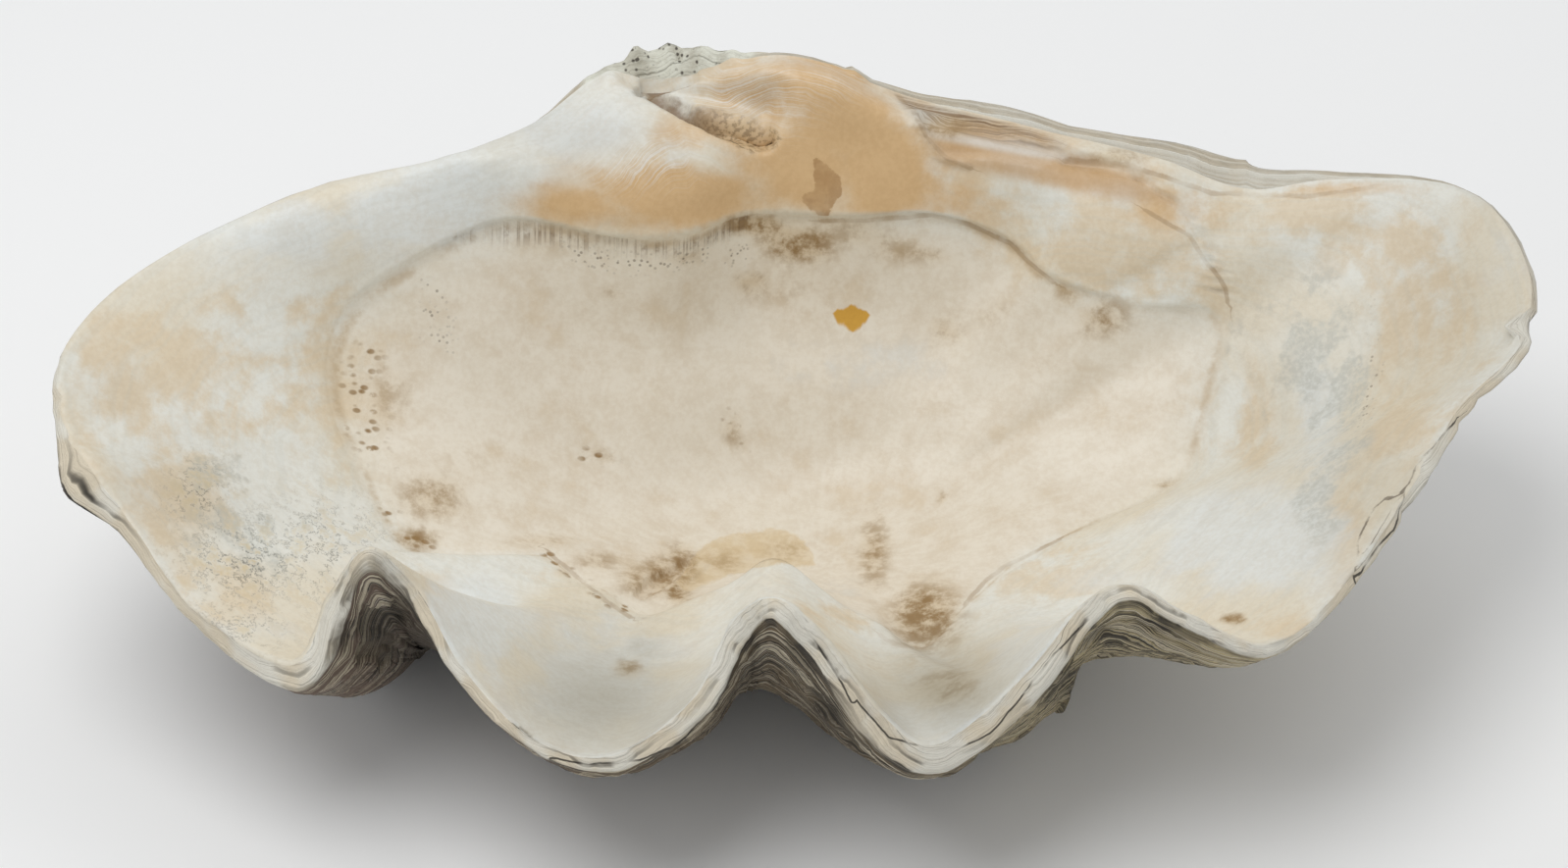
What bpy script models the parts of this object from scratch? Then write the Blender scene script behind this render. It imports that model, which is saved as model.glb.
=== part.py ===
"""Giant clam shell: one valve on its outside, the hollow up. Metres, +Z up, +Y towards the hinge."""

import bmesh
import bpy
import numpy as np

NAME = "giant_clam_shell"

# Inner edge of the rim, from left of the beak round the left end, the front and the right end to the hinge
RIM = (
    (-0.100, 0.196, 0.228),
    (-0.137, 0.165, 0.220),
    (-0.189, 0.138, 0.215),
    (-0.251, 0.119, 0.211),
    (-0.313, 0.080, 0.206),
    (-0.357, 0.032, 0.202),
    (-0.377, -0.016, 0.195),
    (-0.369, -0.054, 0.180),
    (-0.354, -0.074, 0.178),
    (-0.330, -0.101, 0.156),
    (-0.297, -0.140, 0.133),
    (-0.247, -0.168, 0.122),
    (-0.227, -0.149, 0.149),
    (-0.204, -0.153, 0.186),
    (-0.181, -0.154, 0.162),
    (-0.156, -0.184, 0.132),
    (-0.119, -0.220, 0.118),
    (-0.080, -0.228, 0.117),
    (-0.042, -0.203, 0.131),
    (-0.022, -0.180, 0.163),
    (0.001, -0.192, 0.189),
    (0.027, -0.202, 0.168),
    (0.053, -0.218, 0.136),
    (0.080, -0.222, 0.120),
    (0.122, -0.196, 0.140),
    (0.152, -0.178, 0.172),
    (0.176, -0.180, 0.187),
    (0.204, -0.186, 0.172),
    (0.248, -0.183, 0.149),
    (0.290, -0.143, 0.157),
    (0.328, -0.086, 0.172),
    (0.358, -0.036, 0.183),
    (0.396, 0.007, 0.193),
    (0.404, 0.065, 0.202),
    (0.379, 0.121, 0.207),
    (0.313, 0.141, 0.197),
    (0.262, 0.138, 0.187),
    (0.213, 0.152, 0.200),
    (0.158, 0.168, 0.208),
    (0.110, 0.182, 0.214),
    (0.062, 0.194, 0.220),
    (0.030, 0.198, 0.234),
    (-0.005, 0.197, 0.241),
    (-0.040, 0.196, 0.229),
    (-0.070, 0.198, 0.222),
)
# Edge of the basin: under the hinge plate to the right, down, along the front and up the left
BASIN_EDGE = (
    (-0.135, 0.121, 0.185),
    (-0.091, 0.116, 0.175),
    (-0.051, 0.117, 0.175),
    (-0.015, 0.140, 0.172),
    (0.038, 0.139, 0.172),
    (0.089, 0.144, 0.170),
    (0.132, 0.137, 0.157),
    (0.154, 0.115, 0.148),
    (0.207, 0.100, 0.140),
    (0.248, 0.099, 0.138),
    (0.243, 0.065, 0.108),
    (0.223, 0.027, 0.077),
    (0.169, -0.001, 0.067),
    (0.123, -0.028, 0.062),
    (0.081, -0.087, 0.057),
    (0.050, -0.070, 0.067),
    (0.005, -0.044, 0.077),
    (-0.036, -0.047, 0.067),
    (-0.073, -0.059, 0.052),
    (-0.101, -0.040, 0.057),
    (-0.133, -0.018, 0.067),
    (-0.188, -0.042, 0.080),
    (-0.222, -0.005, 0.098),
    (-0.246, 0.045, 0.125),
    (-0.239, 0.080, 0.152),
    (-0.204, 0.098, 0.172),
    (-0.160, 0.121, 0.182),
)
BASIN_CENTRE = (0.0, 0.045, 0.034)
BEAK = (-0.060, 0.222, 0.207)
# From the drawing's origin above to the middle of the finished valve's box
MIDDLE = (0.0147, -0.0016, 0.0)

STATIONS_PER_POINT = 3
BASIN_ROWS = 7
FLANGE_ROWS = 9
OUTSIDE_ROWS = 16
# One front fold spans this many rim points. What share of it is left at the basin's edge and towards the
# beak, and how fast it fades on the way there
FOLD_POINTS = 6
FOLD_AT_BASIN = 0.10
FOLD_AT_BEAK = 0.38
FLANGE_FADE = 1.6
OUTSIDE_FADE = 8
# How flat the floor of the basin is, and how far the basin runs in under the hinge
FLOOR_FLATNESS = 0.55
UNDERCUT = 0.012
# How far the outside turns about the hinge from rim to beak, in radians, and how soon it does so
TURN = 1.71
TURN_EASE = 0.85
# Rows of the outside lie closer together near the rim, by this power
ROW_SPACING = 1.15
# The lip between the two edges of the rim: its share of the wall's thickness and of the outer edge's reach
LIP_WALL = 0.35
LIP_REACH = 0.85

# Marks of (rim point, size) round the shell. How far the inside is crowned between basin and rim
CROWN = (
    (0, 0.020), (4, 0.012), (8, 0.0), (12, -0.015), (27, -0.015), (31, -0.008), (34, 0), (38, 0.012),
    (42, 0.018)
)
# How far the outer edge of the rim stands out past the inner one, and up past it
RIM_REACH = (
    (0, 0.010), (2, 0), (6, 0), (7, 0.004), (8, 0.010), (9, 0.006), (10, 0), (29, 0), (31, 0.003),
    (33, 0.002), (34, 0.003), (35, 0.012), (36, 0.036), (38, 0.020), (40, 0.012), (42, 0.008),
    (44, 0.018)
)
RIM_RISE = (
    (0, 0.006), (1, 0), (34, 0), (36, 0.007), (38, 0), (40, 0.007), (41, 0.004), (42, 0.006),
    (43, 0.015), (44, 0.020)
)
# How thick the wall is at the rim, and how much it gains below
RIM_WALL = (
    (0, 0.008), (4, 0.004), (6, 0.004), (7, 0.006), (8, 0.013), (9, 0.005), (10, 0.008), (11, 0.014),
    (12, 0.014), (13, 0.009), (16, 0.005), (17, 0.009), (19, 0.012), (20, 0.010), (22, 0.014),
    (23, 0.017), (24, 0.015), (26, 0.008), (28, 0.005), (30, 0.006), (33, 0.004), (36, 0.010)
)
THICKENING = (
    (0, 0.004), (6, 0.010), (9, 0.006), (11, 0.020), (12, 0.020), (13, 0.012), (14, 0.014), (15, 0.010),
    (17, 0.004), (18, 0.012), (20, 0.004), (22, 0.008), (23, 0.006), (24, 0.032), (25, 0.034),
    (26, 0.014), (27, 0.0), (29, 0.002), (31, 0.010), (34, 0.012), (38, 0.004)
)
# What share of the turn the outside makes, and how full it is behind the hinge
TURN_SHARE = ((0, 0.3), (1.5, 0.65), (6, 1.0), (35, 1.0), (38, 0.9), (40, 0.4), (42, 0.15))
BACK_FULLNESS = ((0, 0.006), (3, 0.006), (6, 0), (38, 0), (41, 0.006))

# Swellings of the hinge plate: x, place from basin edge to rim, half length, half width there, height
HINGE_SWELLINGS = (
    (0.025, 0.72, 0.050, 0.28, 0.016),
    (-0.060, 0.25, 0.060, 0.25, 0.008),
    (0.190, 0.35, 0.060, 0.30, 0.008),
    (0.110, 0.88, 0.045, 0.16, -0.009),
)
HINGE_FACING = (0, -0.6, 0.8)
# The cleft under the big tooth, from and to (x, place from basin edge to rim), its depth and half widths
CLEFT_START = (-0.066, 0.93)
CLEFT_END = (-0.008, 0.55)
CLEFT_DEPTH = 0.020
CLEFT_WIDTHS = (0.012, 0.14)


def ring_through(points, per_point):
    """A closed smooth curve through the points, as per_point places for each."""
    p = np.array(points)
    a, b, c, d = (np.roll(p, k, axis=0)[:, None] for k in (1, 0, -1, -2))
    t = (np.arange(per_point) / per_point)[None, :, None]
    curve = b + 0.5 * t * (c - a + t * (2 * a - 5 * b + 4 * c - d + t * (3 * (b - c) + d - a)))
    return curve.reshape(-1, 3)


def ring_average(ring, width):
    """The ring with each place averaged over width stations, twice."""
    for _ in range(2):
        ring = np.mean([np.roll(ring, k - width // 2, axis=0) for k in range(width + 1)], axis=0)
    return ring


def smooth_step(low, high, value):
    t = np.clip((value - low) / (high - low), 0.0, 1.0)
    return t * t * (3 - 2 * t)


def along_rim(*marks):
    """A value at each station, read between (rim point, value) marks."""
    points, values = zip(*marks)
    stations = np.arange(len(RIM) * STATIONS_PER_POINT) / STATIONS_PER_POINT
    return np.interp(stations, points, values, period=len(RIM))[:, None]


def basin_edge_below(rim):
    """The basin's edge in the direction of each place of the rim, seen from the basin's centre."""
    edge = ring_through(BASIN_EDGE, 12) - BASIN_CENTRE
    angle = np.arctan2(edge[:, 1], edge[:, 0])
    reach = np.hypot(edge[:, 0], edge[:, 1])
    towards = rim - BASIN_CENTRE
    wanted = np.arctan2(towards[:, 1], towards[:, 0])
    order = np.argsort(angle)
    r = np.interp(wanted, angle[order], reach[order], period=2 * np.pi)
    z = np.interp(wanted, angle[order], edge[order, 2], period=2 * np.pi)
    return np.stack([r * np.cos(wanted), r * np.sin(wanted), z], axis=1) + BASIN_CENTRE


def hinge_relief(x, r):
    """How far the inside stands out along the hinge, at x across the shell and r from basin edge to rim."""
    found = 0 * x
    for middle, across, long, wide, height in HINGE_SWELLINGS:
        found = found + height * np.exp(-(((x - middle) / long) ** 2) - ((r - across) / wide) ** 2)
    start, end = np.array(CLEFT_START), np.array(CLEFT_END)
    along = np.clip((x - start[0]) / (end[0] - start[0]), 0, 1)
    middle = start[1] + (end[1] - start[1]) * along
    beside = ((x - start[0] - (end[0] - start[0]) * along) / CLEFT_WIDTHS[0]) ** 2
    beside = beside + ((r - middle) / CLEFT_WIDTHS[1]) ** 2
    return found - CLEFT_DEPTH * (0.35 + 0.65 * along) * np.exp(-beside)


def unit(vectors):
    return vectors / np.linalg.norm(vectors, axis=1)[:, None]


def rings():
    """The rings of the skin, from the basin's centre up over the rim and round the outside to the beak."""
    rim = ring_through(RIM, STATIONS_PER_POINT)
    in_front = along_rim((6, 0), (8, 1), (31, 1), (33, 0))
    at_hinge = along_rim((0, 1), (2, 0.5), (4, 0), (34, 0), (36, 0.6), (38, 1))
    fold_width = FOLD_POINTS * STATIONS_PER_POINT
    fold = (rim - ring_average(rim, fold_width)) * in_front
    mean_rim = rim - fold
    edge = basin_edge_below(mean_rim)
    centre = np.array(BASIN_CENTRE)
    found = []

    round_edge = ring_average(edge, 2 * fold_width)
    for q in np.arange(1, BASIN_ROWS + 1) / BASIN_ROWS:
        towards = round_edge + (edge - round_edge) * q**5 - centre
        ring = centre + towards * q
        ring[:, 2] = centre[2] + towards[:, 2] * q * q * (1 - FLOOR_FLATNESS + FLOOR_FLATNESS * q**3)
        ring[:, 1] += UNDERCUT * at_hinge[:, 0] * np.exp(-(((q - 0.88) / 0.1) ** 2))
        found.append(ring + FOLD_AT_BASIN * fold * q**5)

    crown = along_rim(*CROWN)[:, 0]
    for r in np.arange(1, FLANGE_ROWS + 1) / FLANGE_ROWS:
        ring = edge + (mean_rim - edge) * r
        ring[:, 2] += crown * 4 * r * (1 - r)
        ring += fold * (FOLD_AT_BASIN + (1 - FOLD_AT_BASIN) * r**FLANGE_FADE)
        relief = hinge_relief(ring[:, 0], r) * at_hinge[:, 0] * smooth_step(0, 0.15, r)
        found.append(ring + relief[:, None] * np.array(HINGE_FACING))

    ahead = np.roll(found[-1], -1, axis=0) - np.roll(found[-1], 1, axis=0)
    under = unit(ring_average(unit(np.cross(ahead, found[-1] - found[-2])), 2))
    plan = unit(np.stack([ahead[:, 1], -ahead[:, 0], 0 * ahead[:, 0]], axis=1))
    wall = under * along_rim(*RIM_WALL)
    beyond = plan * along_rim(*RIM_REACH) + along_rim(*RIM_RISE) * np.array((0, 0, 1.0))
    inner = found[-1]
    outer = inner + wall + beyond
    found.append(inner + LIP_WALL * wall + LIP_REACH * beyond)
    found.append(outer)

    beak = np.array(BEAK)
    outer_fold = (outer - ring_average(outer, fold_width)) * in_front
    arm = outer - outer_fold - beak
    share = along_rim(*TURN_SHARE)[:, 0]
    full = along_rim(*BACK_FULLNESS)
    thick = under * along_rim(*THICKENING)
    for j in range(1, OUTSIDE_ROWS):
        t = 1 - (j / OUTSIDE_ROWS) ** ROW_SPACING
        left = FOLD_AT_BEAK + (1 - FOLD_AT_BEAK) * t**OUTSIDE_FADE
        x, y, z = (t * arm + t * left * outer_fold).T
        turn = share * TURN * (1 - t) ** TURN_EASE
        c, s = np.cos(turn), np.sin(turn)
        ring = beak + np.stack([x, c * y - s * z, s * y + c * z], axis=1)
        ring += full * 4 * t * (1 - t) * np.array((0, 1.0, -0.4))
        found.append(ring + thick * smooth_step(0, 0.14, 1 - t) * smooth_step(0.2, 0.9, t))
    for ring in found:
        ring -= MIDDLE
        ring[:, 2] = np.maximum(ring[:, 2], 0.0)
    return found


def clear_scene():
    for thing in list(bpy.data.objects):
        bpy.data.objects.remove(thing, do_unlink=True)


def shell_material():
    material = bpy.data.materials.new("shell_ivory")
    material.use_nodes = True
    shader = material.node_tree.nodes["Principled BSDF"]
    shader.inputs["Base Color"].default_value = (0.80, 0.68, 0.55, 1)
    shader.inputs["Roughness"].default_value = 0.45
    shader.inputs["Metallic"].default_value = 0.0
    return material


def make_valve(collection):
    """The valve as one closed skin: a pole in the basin, a pole at the beak, rings between."""
    skin = bmesh.new()
    all_rings = rings()
    first = skin.verts.new(np.array(BASIN_CENTRE) - MIDDLE)
    last = skin.verts.new(np.array(BEAK) - MIDDLE)
    loops = [[skin.verts.new(place) for place in ring] for ring in all_rings]
    count = len(loops[0])
    for i in range(count):
        j = (i + 1) % count
        skin.faces.new((first, loops[0][i], loops[0][j]))
        skin.faces.new((last, loops[-1][j], loops[-1][i]))
        for low, high in zip(loops, loops[1:]):
            skin.faces.new((low[i], high[i], high[j], low[j]))
    bmesh.ops.triangulate(skin, faces=skin.faces)
    bmesh.ops.recalc_face_normals(skin, faces=skin.faces)
    mesh = bpy.data.meshes.new("valve")
    skin.to_mesh(mesh)
    skin.free()
    mesh.shade_smooth()
    mesh.materials.append(shell_material())
    valve = bpy.data.objects.new("valve", mesh)
    collection.objects.link(valve)
    return valve


def main():
    clear_scene()
    collection = bpy.data.collections.new(NAME)
    bpy.context.scene.collection.children.link(collection)
    make_valve(collection)


main()
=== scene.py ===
"""Giant clam shell: one valve lying on its outside, its hollow up, on a pale floor. Metres, +Z up, +Y to the hinge."""

import math

import bpy
import numpy as np
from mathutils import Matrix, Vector, noise


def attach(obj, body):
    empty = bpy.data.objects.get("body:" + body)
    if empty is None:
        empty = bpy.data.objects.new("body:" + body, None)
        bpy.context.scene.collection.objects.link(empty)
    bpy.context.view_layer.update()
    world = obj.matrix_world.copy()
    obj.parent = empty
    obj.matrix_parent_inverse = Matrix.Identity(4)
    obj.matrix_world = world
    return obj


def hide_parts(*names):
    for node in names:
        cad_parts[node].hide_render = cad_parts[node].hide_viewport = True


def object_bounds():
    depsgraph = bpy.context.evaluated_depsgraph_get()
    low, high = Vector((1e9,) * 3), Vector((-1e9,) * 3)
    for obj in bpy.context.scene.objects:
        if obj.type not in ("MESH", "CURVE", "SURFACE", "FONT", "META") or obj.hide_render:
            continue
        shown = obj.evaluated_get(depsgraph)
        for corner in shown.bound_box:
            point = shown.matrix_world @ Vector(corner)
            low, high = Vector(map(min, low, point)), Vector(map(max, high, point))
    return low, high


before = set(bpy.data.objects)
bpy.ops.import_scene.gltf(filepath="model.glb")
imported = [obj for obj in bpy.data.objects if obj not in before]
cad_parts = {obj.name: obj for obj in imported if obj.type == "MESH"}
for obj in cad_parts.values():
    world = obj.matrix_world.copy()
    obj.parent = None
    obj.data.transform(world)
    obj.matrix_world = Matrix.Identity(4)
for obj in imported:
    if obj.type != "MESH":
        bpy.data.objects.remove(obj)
CAD_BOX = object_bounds()

# Picture size, the pixels in one step of the picture's UV map, and the camera that sees the shell as the
# photograph does
PICTURE = (1598, 885)
PICTURE_UNIT = 1000
LENS = 85.0
SENSOR = 36.0
CAMERA_HEIGHT_ANGLE = math.radians(40)
CAMERA_DISTANCE = 2.0
CAMERA_TARGET = np.array((-0.0107, 0.0016, 0.132))

# Inner edge of the rim, from left of the beak round the left end, the front and the right end to the hinge
RIM = (
    (-0.100, 0.196, 0.228),
    (-0.137, 0.165, 0.220),
    (-0.189, 0.138, 0.215),
    (-0.251, 0.119, 0.211),
    (-0.313, 0.080, 0.206),
    (-0.357, 0.032, 0.202),
    (-0.377, -0.016, 0.195),
    (-0.369, -0.054, 0.180),
    (-0.354, -0.074, 0.178),
    (-0.330, -0.101, 0.156),
    (-0.297, -0.140, 0.133),
    (-0.247, -0.168, 0.122),
    (-0.227, -0.149, 0.149),
    (-0.204, -0.153, 0.186),
    (-0.181, -0.154, 0.162),
    (-0.156, -0.184, 0.132),
    (-0.119, -0.220, 0.118),
    (-0.080, -0.228, 0.117),
    (-0.042, -0.203, 0.131),
    (-0.022, -0.180, 0.163),
    (0.001, -0.192, 0.189),
    (0.027, -0.202, 0.168),
    (0.053, -0.218, 0.136),
    (0.080, -0.222, 0.120),
    (0.122, -0.196, 0.140),
    (0.152, -0.178, 0.172),
    (0.176, -0.180, 0.187),
    (0.204, -0.186, 0.172),
    (0.248, -0.183, 0.149),
    (0.290, -0.143, 0.157),
    (0.328, -0.086, 0.172),
    (0.358, -0.036, 0.183),
    (0.396, 0.007, 0.193),
    (0.404, 0.065, 0.202),
    (0.379, 0.121, 0.207),
    (0.313, 0.141, 0.197),
    (0.262, 0.138, 0.187),
    (0.213, 0.152, 0.200),
    (0.158, 0.168, 0.208),
    (0.110, 0.182, 0.214),
    (0.062, 0.194, 0.220),
    (0.030, 0.198, 0.234),
    (-0.005, 0.197, 0.241),
    (-0.040, 0.196, 0.229),
    (-0.070, 0.198, 0.222),
)
# Edge of the basin: under the hinge plate to the right, down, along the front and up the left
BASIN_EDGE = (
    (-0.135, 0.121, 0.185),
    (-0.091, 0.116, 0.175),
    (-0.051, 0.117, 0.175),
    (-0.015, 0.140, 0.172),
    (0.038, 0.139, 0.172),
    (0.089, 0.144, 0.170),
    (0.132, 0.137, 0.157),
    (0.154, 0.115, 0.148),
    (0.207, 0.100, 0.140),
    (0.248, 0.099, 0.138),
    (0.243, 0.065, 0.108),
    (0.223, 0.027, 0.077),
    (0.169, -0.001, 0.067),
    (0.123, -0.028, 0.062),
    (0.081, -0.087, 0.057),
    (0.050, -0.070, 0.067),
    (0.005, -0.044, 0.077),
    (-0.036, -0.047, 0.067),
    (-0.073, -0.059, 0.052),
    (-0.101, -0.040, 0.057),
    (-0.133, -0.018, 0.067),
    (-0.188, -0.042, 0.080),
    (-0.222, -0.005, 0.098),
    (-0.246, 0.045, 0.125),
    (-0.239, 0.080, 0.152),
    (-0.204, 0.098, 0.172),
    (-0.160, 0.121, 0.182),
)
BASIN_CENTRE = (0.0, 0.045, 0.034)
BEAK = (-0.060, 0.222, 0.207)
# From the drawing's origin above to the middle of the finished valve's box
MIDDLE = (0.0147, -0.0016, 0.0)

# One front fold spans this many rim points. What share of it is left at the basin's edge and towards the
# beak, and how fast it fades on the way there
FOLD_POINTS = 6
FOLD_AT_BASIN = 0.10
FOLD_AT_BEAK = 0.38
FLANGE_FADE = 1.6
OUTSIDE_FADE = 8
# How flat the floor of the basin is, and how far the basin runs in under the hinge
FLOOR_FLATNESS = 0.55
UNDERCUT = 0.012
# How far the outside turns about the hinge from rim to beak, in radians, and how soon it does so
TURN = 1.71
TURN_EASE = 0.85
# The lip between the two edges of the rim: its share of the wall's thickness and of the outer edge's reach
LIP_WALL = 0.35
LIP_REACH = 0.85

# Marks of (rim point, size) round the shell. How far the inside is crowned between basin and rim
CROWN = (
    (0, 0.020), (4, 0.012), (8, 0.0), (12, -0.015), (27, -0.015), (31, -0.008), (34, 0), (38, 0.012),
    (42, 0.018)
)
# How far the outer edge of the rim stands out past the inner one, and up past it
RIM_REACH = (
    (0, 0.010), (2, 0), (6, 0), (7, 0.004), (8, 0.010), (9, 0.006), (10, 0), (29, 0), (31, 0.003),
    (33, 0.002), (34, 0.003), (35, 0.012), (36, 0.036), (38, 0.020), (40, 0.012), (42, 0.008),
    (44, 0.018)
)
RIM_RISE = (
    (0, 0.006), (1, 0), (34, 0), (36, 0.007), (38, 0), (40, 0.007), (41, 0.004), (42, 0.006),
    (43, 0.015), (44, 0.020)
)
# How thick the wall is at the rim, and how much it gains below
RIM_WALL = (
    (0, 0.008), (4, 0.004), (6, 0.004), (7, 0.006), (8, 0.013), (9, 0.005), (10, 0.008), (11, 0.014),
    (12, 0.014), (13, 0.009), (16, 0.005), (17, 0.009), (19, 0.012), (20, 0.010), (22, 0.014),
    (23, 0.017), (24, 0.015), (26, 0.008), (28, 0.005), (30, 0.006), (33, 0.004), (36, 0.010)
)
THICKENING = (
    (0, 0.004), (6, 0.010), (9, 0.006), (11, 0.020), (12, 0.020), (13, 0.012), (14, 0.014), (15, 0.010),
    (17, 0.004), (18, 0.012), (20, 0.004), (22, 0.008), (23, 0.006), (24, 0.032), (25, 0.034),
    (26, 0.014), (27, 0.0), (29, 0.002), (31, 0.010), (34, 0.012), (38, 0.004)
)
# What share of the turn the outside makes, and how full it is behind the hinge
TURN_SHARE = ((0, 0.3), (1.5, 0.65), (6, 1.0), (35, 1.0), (38, 0.9), (40, 0.4), (42, 0.15))
BACK_FULLNESS = ((0, 0.006), (3, 0.006), (6, 0), (38, 0), (41, 0.006))

# Swellings of the hinge plate: x, place from basin edge to rim, half length, half width there, height
HINGE_SWELLINGS = (
    (0.025, 0.72, 0.050, 0.28, 0.016),
    (-0.060, 0.25, 0.060, 0.25, 0.008),
    (0.190, 0.35, 0.060, 0.30, 0.008),
    (0.110, 0.88, 0.045, 0.16, -0.009),
)
HINGE_FACING = (0, -0.6, 0.8)
# The cleft under the big tooth, from and to (x, place from basin edge to rim), its depth and half widths
CLEFT_START = (-0.066, 0.93)
CLEFT_END = (-0.008, 0.55)
CLEFT_DEPTH = 0.020
CLEFT_WIDTHS = (0.012, 0.14)

# How closely the skin is drawn: columns per rim point for working out, then (rim point, columns) as kept,
# and the rows of the basin, the flange, the lip and the outside
WORK_COLUMNS = 24
KEPT_COLUMNS = ((0, 12), (3, 12), (5, 8), (10, 9), (12, 16), (28, 16), (30, 9), (34, 8), (36, 12), (45, 12))
BASIN_ROWS = 32
FLANGE_ROWS = 44
LIP_ROWS = 6
OUTSIDE_ROWS = 85
# Where the outside's material starts between the inner rim (2) and the outer rim (3), and how far back, in
# metres, the hinge begins and is full
OUTSIDE_FROM = 2.15
HINGE_BACK = (0.073, 0.113)
# Powers by which rows crowd towards the basin's edge and the rim
BASIN_CROWDING = 1.35
OUTSIDE_CROWDING = 1.6

# Places below are pixels of the photograph, as (across, down), with sizes in pixels and heights in metres.
# Grooves and ridges: points along the middle, half width there, height
HINGE_LINES = (
    (((664, 98), (700, 112), (742, 130), (776, 140)), (5, 11, 16, 18), -0.012),
    (((652, 93), (680, 87), (710, 77)), (5, 7, 5), -0.006),
    (((672, 96), (700, 104), (740, 124)), (3, 4, 3), -0.005),
    (((890, 84), (930, 98), (1000, 120), (1075, 143)), (7, 11, 11, 5), -0.004),
    (((935, 112), (1000, 127), (1080, 148)), (6, 6, 4), 0.005),
    (((1085, 160), (1150, 168), (1235, 196)), (5, 8, 5), -0.003),
    (((1160, 182), (1200, 208), (1232, 250), (1244, 300)), (4, 5, 6, 5), -0.0025),
    (((868, 74), (914, 90), (930, 114), (944, 137), (960, 158), (985, 168)), (6, 6, 7, 7, 6, 4), 0.003),
)
BASIN_LINES = (
    (((655, 604), (672, 590), (700, 572)), (9, 12, 9), -0.0035),
    (((676, 608), (694, 590), (716, 574)), (6, 8, 6), 0.0016),
    (((622, 664), (642, 672), (664, 661)), (3, 4, 3), -0.0010),
)
# Lower ground right of the big tooth, as an outline
LIGAMENT_FIELD = (
    (872, 72), (914, 91), (931, 116), (944, 138), (962, 160), (1010, 160), (1085, 168), (1150, 182), (1190, 190),
    (1130, 158), (1078, 138), (1000, 108), (940, 86), (900, 70)
)
LIGAMENT_DEPTH = 0.003
# Worn lumps on the beak: across, down, half size, height
BEAK_LUMPS = (
    (622, 82, 12, 0.004),
    (649, 60, 10, 0.008),
    (684, 55, 14, 0.010),
    (716, 60, 13, 0.005),
    (744, 62, 12, 0.004),
)
BEAK_HOLE = (692, 60, 5, 0.008)
# The layered swelling at the left tip, the notch at the right tip and the small chips: across, down, half
# size, and how far out or in
FLUTE = (98, 500, 27, 0.011)
RIM_NOTCH = (1556, 331, 10, 0.012)
RIM_CHIPS = (
    (62, 404, 7), (70, 440, 6), (1512, 408, 8), (1450, 470, 7), (1432, 520, 7), (114, 520, 6), (1492, 428, 6)
)
# In metres: one layer of the outside from edge to edge, the height of its step and what flaky places add, how
# far it waves and wanders, the outside's lumps, the hollows, the worn beak, the rim's chips and unevenness, the
# drop of the basin's floor and the waves of the inside
LAYER_STEP = 0.0068
LAYER_RELIEF = 0.0018
FLAKE_RELIEF = 0.0020
LAYER_WAVES = 0.0045
LAYER_WANDER = 0.0012
OUTSIDE_LUMPS = 0.0010
OUTSIDE_ROUGHNESS = 0.0008
CAVE_DEPTH = 0.0030
WORN_RELIEF = 0.0016
CHIP_DEPTH = 0.003
EDGE_WANDER = 0.0009
BASIN_DROP = 0.0016
INSIDE_WAVES = 0.0009
INSIDE_GRAIN = 0.0002
# The share of a layer over which it rises, before it drops to the next
LAYER_RISE = 0.78
# What makes each layer's strength differ from its neighbour's
LAYER_SHUFFLE = (12.9898, 4.1)
# Noise of the shape: size of its largest lumps in metres, octaves, seed
LARGE_NOISE = (0.09, 3, 0.0)
FINE_NOISE = (0.018, 4, 7.0)
CAVE_NOISE = (0.030, 2, 3.0)
WORN_NOISE = (0.010, 3, 5.0)
EDGE_NOISE = (0.012, 3, 9.0)
CLOUDY_NOISE = (0.028, 4, 11.0)
# Where the outside is filled out, so that the thin wall of the left groove stays whole
WALL_KEPT = (376, 652, 42, 0.006)

# Soft patches of colour, in pixels of the photograph: across, down, half width, half height, strength
WHITE_PATCHES = (
    (300, 240, 180, 40, 1.0), (470, 185, 120, 42, 1.0), (425, 218, 80, 34, 1.7), (590, 130, 80, 40, 1.0),
    (490, 640, 70, 70, 1.1), (610, 690, 100, 70, 1.1), (820, 595, 120, 20, 0.4), (1140, 590, 130, 24, 0.5),
    (1050, 660, 50, 60, 0.8), (960, 735, 80, 26, 1.0), (250, 650, 70, 30, 0.6), (740, 690, 40, 60, 0.8),
    (350, 560, 60, 50, 0.7), (880, 370, 180, 40, 0.5), (1280, 550, 110, 60, 1.3), (1345, 440, 36, 110, 0.9),
    (1530, 270, 30, 60, 0.6),
)
PEACH_PATCHES = (
    (750, 100, 80, 60, 1.0), (660, 160, 60, 30, 0.5), (1200, 270, 60, 50, 0.6), (1040, 240, 60, 30, 0.6),
    (190, 385, 150, 80, 0.75), (330, 350, 60, 70, 0.6), (175, 500, 70, 60, 0.8), (120, 330, 60, 26, 0.6),
    (230, 600, 50, 50, 0.7), (440, 240, 60, 26, 0.5), (1140, 250, 110, 60, 0.9), (1000, 190, 80, 50, 0.8),
    (1430, 290, 50, 110, 0.9), (1350, 210, 110, 24, 0.9), (1480, 330, 70, 60, 0.5), (1430, 430, 50, 50, 0.8),
    (1370, 540, 26, 60, 1.0), (1320, 640, 40, 20, 0.9), (440, 620, 26, 50, 0.6), (550, 600, 60, 30, 0.4),
    (860, 620, 50, 30, 0.5), (1070, 590, 60, 30, 0.6), (1280, 420, 22, 80, 0.8), (345, 400, 16, 90, 0.9),
)
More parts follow.
